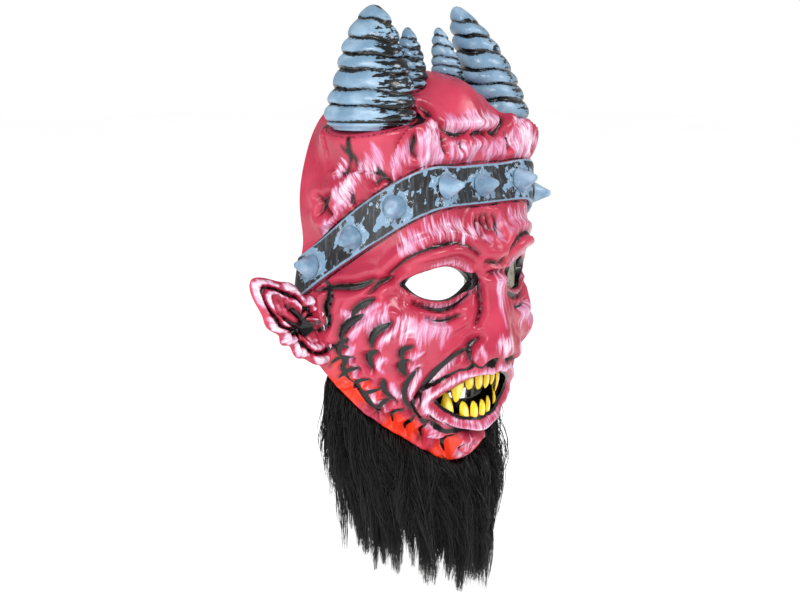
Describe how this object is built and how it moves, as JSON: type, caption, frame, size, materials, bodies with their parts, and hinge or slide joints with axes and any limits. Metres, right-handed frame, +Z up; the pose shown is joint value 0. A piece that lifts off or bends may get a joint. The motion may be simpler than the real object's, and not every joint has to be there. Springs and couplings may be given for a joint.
{
  "type": "horned devil face mask",
  "caption": "Moulded devil face mask with ringed horns, pointed ears, studded headband, open mouth with teeth, long-pile beard and elastic head strap with slide adjuster.",
  "frame": {"origin": "on the middle line, in the plane of the shell's rear rim, level with the eye holes", "axes": "+Z up along the face, -Y the way the mask looks, +X to the wearer's left"},
  "size_m": [0.2416, 0.1109, 0.386],
  "materials": {
    "red_shell": "crimson paint, glossy, with painted black creases and pink brush strokes",
    "horn": "blue-grey paint with black ring lines",
    "stud": "blue-grey paint",
    "band": "black paint with blue-grey mottling",
    "screw": "plain",
    "tooth": "yellow paint, paler in the middle",
    "gum": "dark red paint",
    "mouth_black": "black paint",
    "beard_backing": "knitted backing of the fur",
    "beard_hair": "long black acrylic pile",
    "elastic": "woven elastic",
    "black_plastic": "moulded"
  },
  "bodies": {
    "mask": {"face_shell": "red_shell", "headband": "band", "stud_1": "stud", "stud_2": "stud", "stud_3": "stud", "stud_4": "stud", "stud_5": "stud", "stud_6": "stud", "stud_7": "stud", "stud_8": "stud", "stud_9": "stud", "stud_screw_1": "screw", "stud_screw_2": "screw", "stud_screw_3": "screw", "stud_screw_4": "screw", "stud_screw_5": "screw", "stud_screw_6": "screw", "stud_screw_7": "screw", "stud_screw_8": "screw", "stud_screw_9": "screw", "large_horn_right": "horn", "large_horn_left": "horn", "small_horn_right": "horn", "small_horn_left": "horn", "large_horn_screw_right": "screw", "large_horn_screw_left": "screw", "small_horn_screw_right": "screw", "small_horn_screw_left": "screw", "ear_right": "red_shell", "ear_left": "red_shell", "ear_screw_right": "screw", "ear_screw_left": "screw", "mouth_pan": "mouth_black", "upper_gum": "gum", "lower_gum": "gum", "upper_fang_right": "tooth", "upper_fang_left": "tooth", "lower_fang_right": "tooth", "lower_fang_left": "tooth", "upper_incisor_1": "tooth", "upper_incisor_2": "tooth", "upper_incisor_3": "tooth", "upper_incisor_4": "tooth", "lower_incisor_1": "tooth", "lower_incisor_2": "tooth", "lower_incisor_3": "tooth", "lower_incisor_4": "tooth", "beard_backing": "beard_backing", "beard_hair": "beard_hair", "head_strap": "elastic", "strap_loop": "black_plastic"},
    "slider": {"strap_slider": "black_plastic"}
  },
  "joints": [
    {"name": "strap_slide", "type": "slide", "parent": "mask", "child": "slider", "axis": [1, 0, 0], "range_m": [-0.04, 0.03]}
  ]
}
